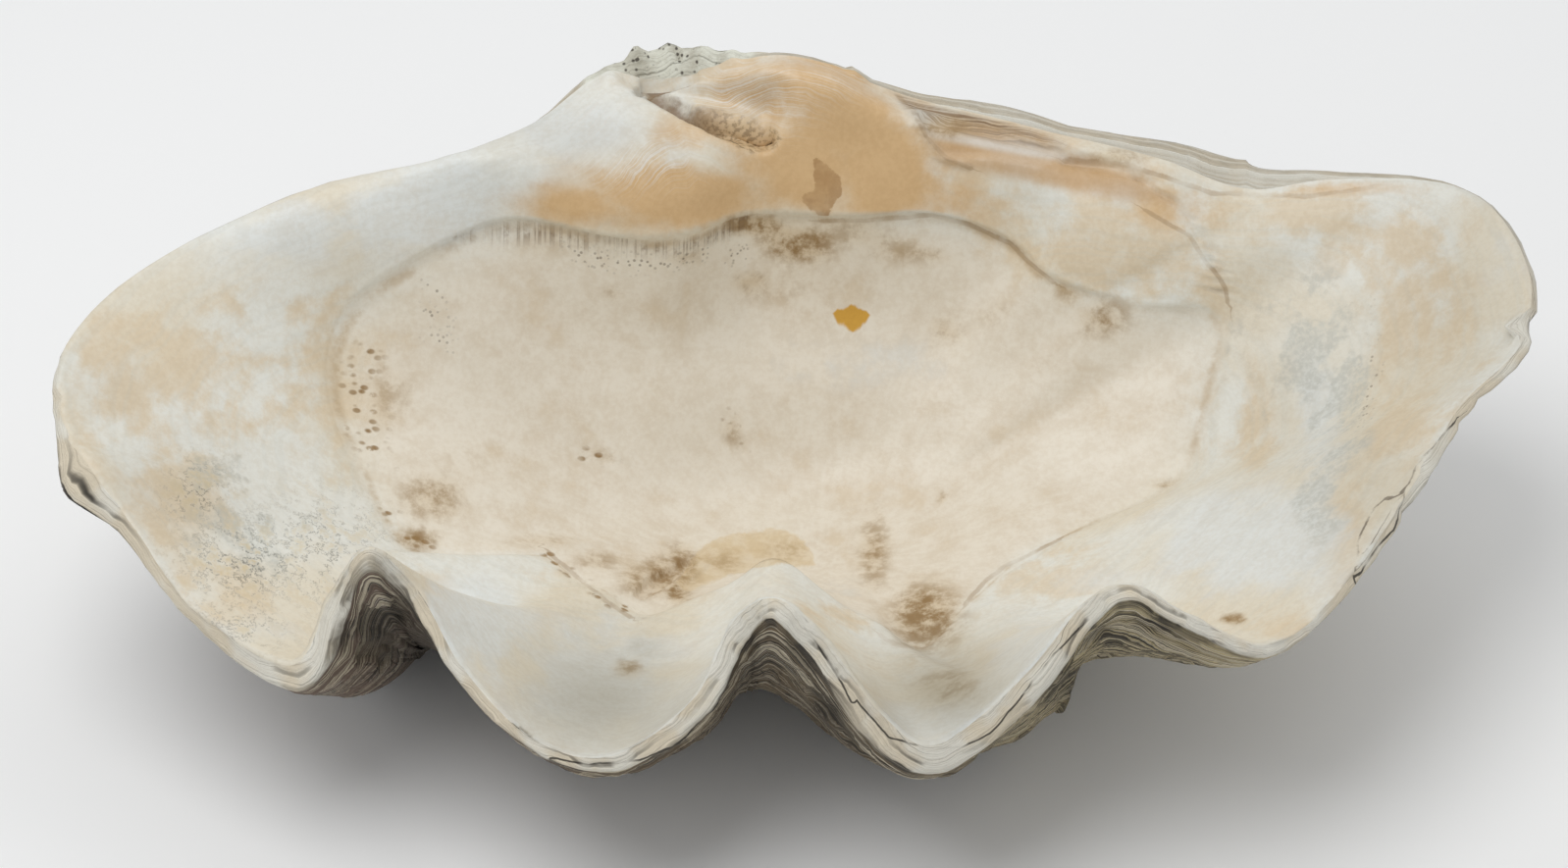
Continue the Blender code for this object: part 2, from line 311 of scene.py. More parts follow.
TAN_PATCHES = (
    (690, 200, 115, 36, 1.1), (590, 208, 70, 28, 0.9), (860, 130, 70, 60, 1.0),
    (830, 88, 80, 46, 0.95), (900, 170, 70, 50, 1.0),
    (770, 95, 60, 36, 0.6), (950, 205, 70, 30, 0.7), (820, 175, 110, 60, 0.9), (850, 95, 70, 36, 0.55),
    (905, 200, 80, 40, 1.0), (700, 140, 55, 26, 0.5), (1010, 140, 90, 24, 0.75), (1110, 178, 80, 20, 0.7),
    (1380, 192, 90, 10, 0.6), (1190, 215, 50, 26, 0.6),
)
BLUE_PATCHES = (
    (1340, 340, 60, 60, 0.9), (1374, 400, 26, 70, 1.0), (1300, 370, 60, 70, 0.6), (1345, 480, 34, 70, 0.8),
    (270, 550, 80, 50, 0.8), (240, 480, 60, 30, 0.7), (620, 660, 60, 40, 0.3),
)
STRIAE = ((755, 96, 62, 36, 1.0), (650, 160, 62, 26, 1.0), (610, 120, 60, 40, 0.6), (850, 80, 50, 20, 0.5))
SHADED = ((612, 714, 96, 60, 0.95), (960, 704, 86, 52, 0.95), (655, 665, 36, 22, 0.6))
# Painted shade: where the inside is darkened, at both ends and near the hinge
PAINTED_SHADE = (
    (1470, 300, 110, 150, 1.0), (1400, 500, 90, 110, 0.9), (1310, 400, 90, 130, 0.7), (170, 500, 100, 70, 0.8),
    (110, 400, 60, 50, 0.6), (605, 150, 90, 36, 1.2), (1060, 190, 60, 30, 0.3)
)
# Brown stains, and where dark threads lie
STAINS = (
    (815, 250, 40, 20, 1.2), (945, 628, 40, 38, 1.1), (680, 585, 34, 30, 0.9), (575, 250, 60, 12, 0.4),
    (690, 600, 16, 16, 1.1), (768, 229, 34, 10, 1.3), (800, 240, 26, 12, 1.2), (832, 262, 16, 10, 1.0),
    (700, 262, 50, 10, 0.5), (800, 300, 80, 26, 0.35), (1090, 300, 26, 10, 0.6),
    (560, 320, 60, 20, 0.25), (480, 470, 60, 50, 0.25), (830, 500, 60, 30, 0.2), (1060, 380, 60, 40, 0.2),
    (815, 252, 24, 14, 1.2), (785, 236, 36, 9, 1.1), (765, 290, 22, 14, 0.8), (965, 338, 24, 20, 0.6),
    (1125, 325, 34, 24, 0.8), (440, 505, 40, 30, 0.75), (425, 548, 26, 14, 0.9), (695, 570, 22, 22, 0.9),
    (650, 590, 22, 24, 0.7), (890, 560, 20, 50, 0.7), (942, 625, 34, 34, 1.25), (965, 700, 36, 22, 0.85),
    (870, 238, 60, 10, 0.8), (930, 262, 60, 12, 0.6), (640, 682, 18, 12, 0.9), (747, 440, 14, 22, 0.6),
    (616, 465, 12, 10, 0.6), (625, 300, 16, 12, 0.5), (1185, 492, 14, 5, 0.9), (960, 506, 8, 8, 0.7),
    (740, 570, 34, 16, 0.5), (800, 560, 30, 14, 0.5), (550, 548, 40, 10, 0.5), (1010, 320, 30, 20, 0.4),
    (610, 570, 30, 14, 0.6), (400, 400, 26, 40, 0.55), (1258, 632, 14, 6, 1.2), (960, 130, 30, 14, 0.8),
    (1140, 160, 40, 10, 0.7), (300, 500, 12, 8, 0.3),
)
DARK_THREADS = ((200, 500, 30, 30, 0.9), (250, 570, 60, 40, 1.0), (330, 560, 60, 50, 0.8), (240, 640, 50, 26, 0.7))
# Rows of pits: points along the middle and half widths there
PIT_ROWS = (
    (((372, 366), (366, 400), (376, 440), (390, 468)), (26, 28, 26, 14)),
    (((395, 515), (412, 540), (436, 556)), (10, 16, 10)),
    (((560, 564), (590, 590), (616, 612), (655, 626)), (8, 9, 9, 8)),
    (((594, 463), (630, 471)), (9, 9)),
    (((742, 424), (756, 456)), (10, 10)),
)
# The comb of small teeth under the hinge
COMB_LINE = ((470, 244), (510, 235), (552, 236), (604, 244), (663, 253), (712, 247), (764, 223))
COMB_WIDTHS = (7, 8, 8, 7, 7, 8, 8)
# Rows of fine dots, in the same way
DOT_ROWS = (
    (((1396, 300), (1402, 380), (1384, 450), (1362, 520), (1330, 580), (1282, 642)), (4, 4, 4, 4, 4, 4)),
    (((500, 278), (570, 262), (640, 266), (700, 262), (760, 258)), (6, 6, 9, 9, 6)),
    (((444, 296), (446, 330), (456, 366)), (8, 10, 6)),
)
# Crisp marks, as outlines in pixels of the photograph
AMBER_SPOT = (
    (848, 321), (852, 315), (860, 317), (863, 312), (870, 310), (876, 317), (885, 318), (888, 325), (885, 332),
    (879, 331), (876, 337), (868, 339), (862, 335), (855, 334), (849, 329)
)
CHIPPED_PATCH = (
    (831, 163), (842, 165), (851, 176), (857, 186), (856, 198), (848, 207), (843, 220), (835, 221), (826, 213),
    (817, 206), (816, 198), (828, 194), (832, 185), (830, 172)
)
CLEFT_PATCH = (
    (658, 90), (684, 97), (703, 105), (735, 111), (757, 120), (784, 128), (796, 141), (791, 151), (768, 156),
    (752, 152), (741, 141), (725, 131), (703, 120), (684, 107), (664, 97)
)
UPPER_CLEFT = ((657, 92), (684, 84), (709, 75), (704, 85), (690, 91), (664, 97))
YELLOW_PLATE = (
    (690, 594), (703, 568), (724, 549), (758, 541), (800, 539), (822, 551), (831, 574), (792, 576), (744, 583),
    (702, 600)
)
# Soft-edged areas at the hinge
LIGAMENT = (
    (903, 82), (940, 94), (1000, 115), (1050, 132), (1088, 148), (1060, 149), (1008, 140), (955, 128), (924, 112)
)
PALE_RIDGE = ((936, 126), (985, 133), (1040, 143), (1088, 155), (1074, 159), (1010, 151), (950, 140))
PLATFORM = (
    (944, 138), (1000, 142), (1060, 152), (1110, 160), (1165, 182), (1195, 207), (1140, 204), (1080, 190),
    (1020, 178), (964, 168)
)
# Thin dark cracks and thin brown edges, along pixels
CRACKS = (
    ((1490, 424), (1473, 440), (1450, 469), (1437, 491), (1429, 506), (1407, 509), (1396, 526), (1384, 551),
     (1380, 592)),
    ((1433, 514), (1419, 540), (1399, 563), (1385, 589)),
    ((846, 680), (880, 722), (906, 752), (947, 762), (980, 762), (1012, 745), (1040, 712), (1062, 682),
     (1100, 640)),
    ((820, 640), (846, 676), (868, 716)),
    ((560, 772), (600, 779), (655, 775), (700, 752), (730, 718), (748, 680)),
    ((663, 94), (690, 107), (724, 126), (752, 146)),
)
BROWN_EDGES = (
    ((900, 87), (915, 97), (930, 116), (942, 137), (962, 160), (990, 172)),
    ((840, 226), (900, 225), (949, 220), (989, 231), (1029, 249), (1047, 267), (1071, 287)),
    ((1167, 214), (1212, 240), (1229, 267), (1247, 289), (1252, 310)),
    ((983, 614), (1004, 589), (1026, 574), (1080, 549)),
    ((897, 646), (911, 656), (940, 660), (961, 647)),
    ((1085, 158), (1150, 168), (1235, 197), (1330, 200), (1400, 190)),
    ((560, 562), (590, 588), (616, 614), (642, 630)),
)
# Half widths of the cracks and the edges, in pixels
CRACK_WIDTH = 1.3
EDGE_WIDTH = 3.0
# Painted shade deep in the grooves of the front folds, where the outside is darkest
GROOVE_SHADE = ((428, 655, 34, 34, 1.0), (400, 640, 30, 26, 0.7), (1100, 705, 30, 24, 0.6), (845, 725, 14, 18, 0.8))
# Where the outside shows its layers right from the rim: across, down, half width, half height, strength
LAYERED = (
    (385, 635, 80, 60, 1.2), (800, 665, 115, 70, 1.2), (1160, 645, 140, 60, 1.2), (100, 505, 60, 50, 1.3),
    (625, 780, 160, 24, 1.0), (960, 780, 140, 28, 1.1), (1440, 510, 50, 60, 0.5), (1092, 692, 60, 44, 1.3),
    (300, 680, 60, 24, 0.8),
)

# Colours of the inside, linear
IVORY = (0.79, 0.785, 0.72)
CREAM = (0.76, 0.70, 0.57)
CHALK = (0.77, 0.80, 0.79)
PEACH = (0.735, 0.615, 0.44)
HINGE_TAN = (0.68, 0.46, 0.235)
FLOOR_BEIGE = (0.80, 0.735, 0.62)
FLOOR_DARK = (0.72, 0.63, 0.50)
PAINTED_SHADE_TINT = (0.81, 0.80, 0.78)
BLUE_GREY = (0.56, 0.58, 0.54)
OCHRE = (0.58, 0.42, 0.22)
BROWN = (0.28, 0.165, 0.055)
AMBER = (0.64, 0.35, 0.045)
OLD_PATCH = (0.40, 0.225, 0.085)
GOLDEN_FLECKS = (0.70, 0.57, 0.32)
PLATE_YELLOW = (0.70, 0.55, 0.33)
STRIAE_WHITE = (0.80, 0.78, 0.73)
PLATFORM_TAN = (0.56, 0.36, 0.18)
LIGAMENT_BROWN = (0.24, 0.15, 0.075)
RIDGE_PALE = (0.66, 0.61, 0.54)
SHADED_GREY = (0.33, 0.305, 0.235)
COMB_BROWN = (0.22, 0.14, 0.075)
LEDGE_BROWN = (0.45, 0.31, 0.15)
THREAD_BLACK = (0.09, 0.09, 0.07)
DOT_BROWN = (0.22, 0.18, 0.13)
EDGE_BROWN = (0.33, 0.21, 0.10)
CLEFT_DARK = (0.24, 0.155, 0.085)
CLEFT_LIGHT = (0.66, 0.49, 0.29)
CLEFT_DIRT = (0.21, 0.135, 0.065)
CRACK_BROWN = (0.10, 0.075, 0.05)
# Colours of the outside
LAYER_BROWN = (0.14, 0.10, 0.055)
LAYER_PURPLE = (0.16, 0.11, 0.08)
LAYER_OLIVE = (0.52, 0.43, 0.24)
LAYER_PALE = (0.62, 0.545, 0.40)
LAYER_GAP = (0.018, 0.014, 0.009)
LAYER_EDGE = (0.66, 0.62, 0.53)
LAYER_LINE = (0.05, 0.038, 0.024)
PIT_DARK = (0.035, 0.027, 0.017)
CAVE_DARK = (0.075, 0.058, 0.032)
GROOVE_SHADE_DARK = (0.045, 0.036, 0.025)
LIP_WHITE = (0.76, 0.73, 0.64)
LIP_CREAM = (0.70, 0.62, 0.48)
LIP_LINE = (0.30, 0.24, 0.16)
WEATHERED_PALE = (0.70, 0.68, 0.60)
WEATHERED_BROWN = (0.47, 0.41, 0.31)
WEATHERED_LINE = (0.20, 0.16, 0.10)
CHALKY_PALE = (0.74, 0.74, 0.64)
CHALKY_GREY = (0.54, 0.52, 0.43)
CHALKY_PIT = (0.05, 0.038, 0.026)
# The room
FLOOR_WHITE = (0.94, 0.94, 0.935)
SKY = (0.97, 0.985, 1.0)
SKY_STRENGTH = 0.55
# Lamps: place, size in metres, watts
KEY_LIGHT = ((-0.7, -0.35, 2.4), 1.7, 25)
FILL_LIGHT = ((0.9, 1.2, 2.0), 1.8, 6)

# Noise of the colours: scale, detail and roughness
BLOTCHES = (80, 5, 0.68)
GRAIN = (330, 2, 0.6)
OUTSIDE_BLOTCHES = (70, 3, 0.6)
OUTSIDE_GRAIN = (260, 3, 0.6)
# How closely the growth layers lie, per metre, and the teeth of the comb, per thousand pixels
WIDE_LAYERS = 150
MEDIUM_LAYERS = 330
STRIAE_LAYERS = 420
NARROW_LAYERS = 620
COMB_TEETH = 150
# How far the growth lines wave, in metres: broadly and in small clouds. They run straighter from one distance
# behind the rim to another, where this share of the waves is left
BROAD_WAVES = 0.013
CLOUDY_WAVES = 0.011
STRAIGHTER = (0.03, 0.20)
WAVES_LEFT = 0.3


def ring_through(points, per_point):
    """A closed smooth curve through the points, as per_point places for each."""
    p = np.array(points)
    a, b, c, d = (np.roll(p, k, axis=0)[:, None] for k in (1, 0, -1, -2))
    t = (np.arange(per_point) / per_point)[None, :, None]
    curve = b + 0.5 * t * (c - a + t * (2 * a - 5 * b + 4 * c - d + t * (3 * (b - c) + d - a)))
    return curve.reshape(-1, 3)


def ring_average(ring, width):
    """The ring with each place averaged over width columns, twice."""
    for _ in range(2):
        ring = np.mean([np.roll(ring, k - width // 2, axis=0) for k in range(width + 1)], axis=0)
    return ring


def smooth_step(low, high, value):
    t = np.clip((value - low) / (high - low), 0.0, 1.0)
    return t * t * (3 - 2 * t)


def along_rim(*marks):
    """A value at each working column, read between (rim point, value) marks."""
    points, values = zip(*marks)
    columns = np.arange(len(RIM) * WORK_COLUMNS) / WORK_COLUMNS
    return np.interp(columns, points, values, period=len(RIM))[:, None]


def basin_edge_below(rim):
    """The basin's edge in the direction of each place of the rim, seen from the basin's centre."""
    edge = ring_through(BASIN_EDGE, 12) - BASIN_CENTRE
    angle = np.arctan2(edge[:, 1], edge[:, 0])
    reach = np.hypot(edge[:, 0], edge[:, 1])
    towards = rim - BASIN_CENTRE
    wanted = np.arctan2(towards[:, 1], towards[:, 0])
    order = np.argsort(angle)
    r = np.interp(wanted, angle[order], reach[order], period=2 * np.pi)
    z = np.interp(wanted, angle[order], edge[order, 2], period=2 * np.pi)
    return np.stack([r * np.cos(wanted), r * np.sin(wanted), z], axis=1) + BASIN_CENTRE


def hinge_relief(x, r):
    """How far the inside stands out along the hinge, at x across the shell and r from basin edge to rim."""
    found = 0 * x
    for middle, across, long, wide, height in HINGE_SWELLINGS:
        found = found + height * np.exp(-(((x - middle) / long) ** 2) - ((r - across) / wide) ** 2)
    start, end = np.array(CLEFT_START), np.array(CLEFT_END)
    along = np.clip((x - start[0]) / (end[0] - start[0]), 0, 1)
    middle = start[1] + (end[1] - start[1]) * along
    away = ((x - start[0] - (end[0] - start[0]) * along) / CLEFT_WIDTHS[0]) ** 2
    away = away + ((r - middle) / CLEFT_WIDTHS[1]) ** 2
    return found - CLEFT_DEPTH * (0.35 + 0.65 * along) * np.exp(-away)


def unit(vectors):
    return vectors / np.maximum(np.linalg.norm(vectors, axis=-1), 1e-12)[..., None]


def plain_rows():
    """The skin's rows before their fine relief, and how far along each is: the basin's centre is 0, its
    edge 1, the inner rim 2, the outer rim 3 and the beak 4."""
    rim = ring_through(RIM, WORK_COLUMNS)
    in_front = along_rim((6, 0), (8, 1), (31, 1), (33, 0))
    at_hinge = along_rim((0, 1), (2, 0.5), (4, 0), (34, 0), (36, 0.6), (38, 1))
    fold_width = FOLD_POINTS * WORK_COLUMNS
    fold = (rim - ring_average(rim, fold_width)) * in_front
    mean_rim = rim - fold
    edge = basin_edge_below(mean_rim)
    edge = ring_average(edge, WORK_COLUMNS // 4)
    centre = np.array(BASIN_CENTRE)
    rows = []
    places = []

    round_edge = ring_average(edge, 2 * fold_width)
    for k in range(BASIN_ROWS + 1):
        q = 1 - (1 - k / BASIN_ROWS) ** BASIN_CROWDING
        towards = round_edge + (edge - round_edge) * q**5 - centre
        ring = centre + towards * q
        ring[:, 2] = centre[2] + towards[:, 2] * q * q * (1 - FLOOR_FLATNESS + FLOOR_FLATNESS * q**3)
        ring[:, 1] += UNDERCUT * at_hinge[:, 0] * np.exp(-(((q - 0.88) / 0.1) ** 2)) * min(1, 4 * q)
        rows.append(ring + FOLD_AT_BASIN * fold * q**5)
        places.append(q)

    crown = along_rim(*CROWN)[:, 0]
    for r in np.arange(1, FLANGE_ROWS + 1) / FLANGE_ROWS:
        ring = edge + (mean_rim - edge) * r
        ring[:, 2] += crown * 4 * r * (1 - r)
        ring += fold * (FOLD_AT_BASIN + (1 - FOLD_AT_BASIN) * r**FLANGE_FADE)
        relief = hinge_relief(ring[:, 0], r) * at_hinge[:, 0] * smooth_step(0, 0.15, r)
        rows.append(ring + relief[:, None] * np.array(HINGE_FACING))
        places.append(1 + r)

    inner = rows[-1]
    ahead = np.roll(inner, -1, axis=0) - np.roll(inner, 1, axis=0)
    under = unit(np.cross(ahead, inner - rows[-5]))
    under = unit(ring_average(under, 2 * WORK_COLUMNS // 3))
    plan = unit(np.stack([ahead[:, 1], -ahead[:, 0], 0 * ahead[:, 0]], axis=1))
    wall = under * along_rim(*RIM_WALL)
    beyond = plan * along_rim(*RIM_REACH) + along_rim(*RIM_RISE) * np.array((0, 0, 1.0))
    outer = inner + wall + beyond
    lip = inner + LIP_WALL * wall + LIP_REACH * beyond
    for s in np.arange(1, LIP_ROWS + 1) / LIP_ROWS:
        rows.append(inner * (1 - s) ** 2 + lip * 2 * s * (1 - s) + outer * s**2)
        places.append(2 + s)

    beak = np.array(BEAK)
    outer_fold = (outer - ring_average(outer, fold_width)) * in_front
    arm = outer - outer_fold - beak
    share = along_rim(*TURN_SHARE)[:, 0]
    full = along_rim(*BACK_FULLNESS)
    thick = under * along_rim(*THICKENING)
    for j in range(1, OUTSIDE_ROWS + 1):
        t = 1 - (j / OUTSIDE_ROWS) ** OUTSIDE_CROWDING
        left = FOLD_AT_BEAK + (1 - FOLD_AT_BEAK) * t**OUTSIDE_FADE
        x, y, z = (t * arm + t * left * outer_fold).T
        turn = share * TURN * (1 - t) ** TURN_EASE
        c, s = np.cos(turn), np.sin(turn)
        ring = beak + np.stack([x, c * y - s * z, s * y + c * z], axis=1)
        ring += full * 4 * t * (1 - t) * np.array((0, 1.0, -0.4))
        rows.append(ring + thick * smooth_step(0, 0.14, 1 - t) * smooth_step(0.2, 0.9, t))
        places.append(4 - t)
    return np.array(rows) - MIDDLE, np.array(places)


def kept_columns():
    """Where the kept columns stand, counted in rim points, and once more the first one to close the skin."""
    fine = np.linspace(0, len(RIM), 1801)
    points, counts = zip(*KEPT_COLUMNS)
    so_far = np.concatenate([[0], np.cumsum(np.interp(fine[:-1], points, counts) * (fine[1] - fine[0]))])
    many = int(so_far[-1])
    return np.interp(np.linspace(0, so_far[-1], many + 1), so_far, fine)


def skin():
    """The rows at the kept columns, as rows x columns x 3."""
    rows, places = plain_rows()
    closed = np.concatenate([rows, rows[:, :1]], axis=1)
    at = kept_columns() * WORK_COLUMNS
    low = np.minimum(at.astype(int), closed.shape[1] - 2)
    part = (at - low)[None, :, None]
    return closed[:, low] * (1 - part) + closed[:, low + 1] * part, places


def facing(grid):
    """The way the skin faces at each place."""
    open_grid = grid[:, :-1]
    along = np.roll(open_grid, -1, axis=1) - np.roll(open_grid, 1, axis=1)
    found = unit(np.cross(np.gradient(open_grid, axis=0), along))
    return np.concatenate([found, found[:, :1]], axis=1)


def growth(grid, places):
    """How far each place is from the outer rim along its column: up to the beak above 0, to the basin below."""
    steps = np.linalg.norm(np.diff(grid, axis=0), axis=2)
    far = np.concatenate([np.zeros((1, grid.shape[1])), np.cumsum(steps, axis=0)])
    return far - far[np.argmin(np.abs(places - 3))]


def seen(grid):
    """Where the camera sees each place, in pixels of the photograph."""
    forward = np.array((0, math.cos(CAMERA_HEIGHT_ANGLE), -math.sin(CAMERA_HEIGHT_ANGLE)))
    up = np.array((0, math.sin(CAMERA_HEIGHT_ANGLE), math.cos(CAMERA_HEIGHT_ANGLE)))
    towards = grid - CAMERA_TARGET
    scale = LENS / SENSOR * PICTURE[0] / (towards @ forward + CAMERA_DISTANCE)
    return PICTURE[0] / 2 + scale * towards[..., 0], PICTURE[1] / 2 - scale * (towards @ up)


def rough(grid, size, octaves, seed):
    """Cloudy noise about -1 to 1 at each place, its largest lumps of that size."""
    flat = (grid.reshape(-1, 3) / size + seed).tolist()
    values = [noise.fractal(Vector(p), 0.8, 2.0, octaves) for p in flat]
    return np.array(values).reshape(grid.shape[:-1])


def beside_segment(px, py, a, b):
    """How far along the segment from a to b each place is, 0 to 1, and how many pixels away from it."""
    dx, dy = b[0] - a[0], b[1] - a[1]
    along = np.clip(((px - a[0]) * dx + (py - a[1]) * dy) / (dx * dx + dy * dy), 0, 1)
    return along, np.hypot(px - a[0] - along * dx, py - a[1] - along * dy)


def near_line(px, py, points, half_widths):
    """1 on a line through pixels, falling to 0 at its half width, which changes along it."""
    found = np.zeros_like(px)
    for (a, b), (wa, wb) in zip(zip(points, points[1:]), zip(half_widths, half_widths[1:])):
        along, away = beside_segment(px, py, a, b)
        found = np.maximum(found, 1 - smooth_step(0.35, 1, away / (wa + (wb - wa) * along)))
    return found


def beside(px, py, outline):
    """How many pixels each place is outside an outline of pixels, less than 0 within it."""
    crossings = np.zeros(px.shape, bool)
    away = np.full(px.shape, 1e9)
    for a, b in zip(outline, outline[1:] + outline[:1]):
        away = np.minimum(away, beside_segment(px, py, a, b)[1])
        if b[1] != a[1]:
            crossings ^= ((a[1] > py) != (b[1] > py)) & (px < a[0] + (b[0] - a[0]) * (py - a[1]) / (b[1] - a[1]))
    return np.where(crossings, -away, away)


def within(px, py, outline, soft):
    """1 inside an outline of pixels, falling to 0 over soft pixels on either side of it."""
    return 1 - smooth_step(-soft, soft, beside(px, py, outline))


def beside_lines(px, py, lines, reach=14):
    """How far each place is beside the nearest of the lines, to its left less than 0, and 1 near any line."""
    nearest = np.full(px.shape, 1e9)
    side = np.ones(px.shape)
    for points in lines:
        for a, b in zip(points, points[1:]):
            away = beside_segment(px, py, a, b)[1]
            closer = away < nearest
            nearest = np.where(closer, away, nearest)
            left = np.sign((b[0] - a[0]) * (py - a[1]) - (b[1] - a[1]) * (px - a[0]))
            side = np.where(closer, left, side)
    return nearest * side, 1 - smooth_step(0.5 * reach, reach, nearest)


def near_spots(px, py, spots):
    """The strongest of soft round spots: across, down, half width, half height, strength."""
    found = np.zeros_like(px)
    for across, down, wide, high, strength in spots:
        found = np.maximum(found, strength * np.exp(-(((px - across) / wide) ** 2) - ((py - down) / high) ** 2))
    return found


def near_spot(px, py, across, down, size):
    return near_spots(px, py, [(across, down, size, size, 1)])


def carve(grid, places):
    """The skin with its fine relief: the basin's ledge, the hinge, the beak's lumps, chips and the layers outside."""
    n = facing(grid)
    px, py = seen(grid)
    far = growth(grid, places)
    place = places[:, None] + 0 * far
    inside = 1 - smooth_step(2.0, 2.4, place)
    outside = smooth_step(2.3, 2.9, place)
    at_hinge = smooth_step(*HINGE_BACK, grid[..., 1]) * smooth_step(1.02, 1.06, place)
    at_hinge = at_hinge * (1 - smooth_step(1.78, 1.95, place) * smooth_step(850, 900, px)) * (place < 3.25)
    large = rough(grid, *LARGE_NOISE)
    fine = rough(grid, *FINE_NOISE)
    wavy_x, wavy_y = px + 3 * fine, py + 3 * large

    height = inside * (INSIDE_WAVES * large + INSIDE_GRAIN * fine)
    ledge = 1 - smooth_step(0.985, 1.02, place)
    height -= BASIN_DROP * ledge * smooth_step(0, 0.3, place)
    for points, half_widths, deep in HINGE_LINES:
        height += at_hinge * deep * near_line(wavy_x, wavy_y, points, half_widths)
    height -= at_hinge * LIGAMENT_DEPTH * within(wavy_x, wavy_y, LIGAMENT_FIELD, 3)
    for points, half_widths, deep in BASIN_LINES:
        height += (place < 1.8) * deep * near_line(wavy_x, wavy_y, points, half_widths)

    layer = (far + LAYER_WAVES * large + LAYER_WANDER * fine) / LAYER_STEP
    number = np.floor(layer)
    strength = 0.5 + 0.5 * np.sin(number * LAYER_SHUFFLE[0]) * np.cos(number * LAYER_SHUFFLE[1])
    part = layer - number
    ledges = strength * (np.where(part < LAYER_RISE, part / LAYER_RISE, (1 - part) / (1 - LAYER_RISE)) - 0.5)
    fade = smooth_step(0.0, 0.010, far) * (1 - 0.65 * smooth_step(0.06, 0.22, far))
    layered = near_spots(px, py, LAYERED)
    stepped = (LAYER_RELIEF + FLAKE_RELIEF * layered) * ledges
    height += outside * fade * (stepped + OUTSIDE_ROUGHNESS * fine + OUTSIDE_LUMPS * large)
    height += outside * WALL_KEPT[3] * near_spot(px, py, *WALL_KEPT[:3])
    caves = smooth_step(0.22, 0.42, rough(grid * (1, 1, 0.6), *CAVE_NOISE))
    height -= outside * smooth_step(0.012, 0.03, far) * (1 - smooth_step(0.10, 0.16, far)) * CAVE_DEPTH * caves

    worn = near_spots(px, py, [(x, y, 2.2 * r, 2.0 * r, 1) for x, y, r, _ in BEAK_LUMPS])
    worn = worn * smooth_step(1.75, 1.95, place)
    height += worn * WORN_RELIEF * rough(grid, *WORN_NOISE)
    grid = grid + n * (height * smooth_step(0, 0.05, place) * smooth_step(0, 0.04, 4 - place))[..., None]
    near_rim = smooth_step(1.8, 1.97, place) * (1 - smooth_step(3.05, 3.3, place))
    for x, y, size, up in BEAK_LUMPS:
        grid[..., 2] += up * near_rim * near_spot(px, py, x, y, size)
    x, y, size, deep = BEAK_HOLE
    grid[..., 2] -= deep * near_rim * near_spot(px, py, x, y, size)
    at_edge = smooth_step(1.85, 1.98, place) * (1 - smooth_step(3.02, 3.1, place))
    x, y, size, out = FLUTE
    at_flute = smooth_step(2.1, 2.6, place) * (1 - smooth_step(3.08, 3.3, place))
    grid[..., 0] -= out * at_flute * near_spot(px, py, x, y, size)
    x, y, size, deep = RIM_NOTCH
    grid[..., 0] -= deep * at_edge * near_spot(px, py, x, y, size)
    for x, y, size in RIM_CHIPS:
        inwards = math.copysign(CHIP_DEPTH, x - PICTURE[0] / 2)
        grid[..., 0] -= inwards * at_edge * near_spot(px, py, x, y, size)
    grid[..., :2] += (at_edge * EDGE_WANDER * rough(grid, *EDGE_NOISE))[..., None] * n[..., :2]
    grid[..., 2] = np.maximum(grid[..., 2], 0.0)
    return grid, px, py, far, place, caves, worn, large, layered


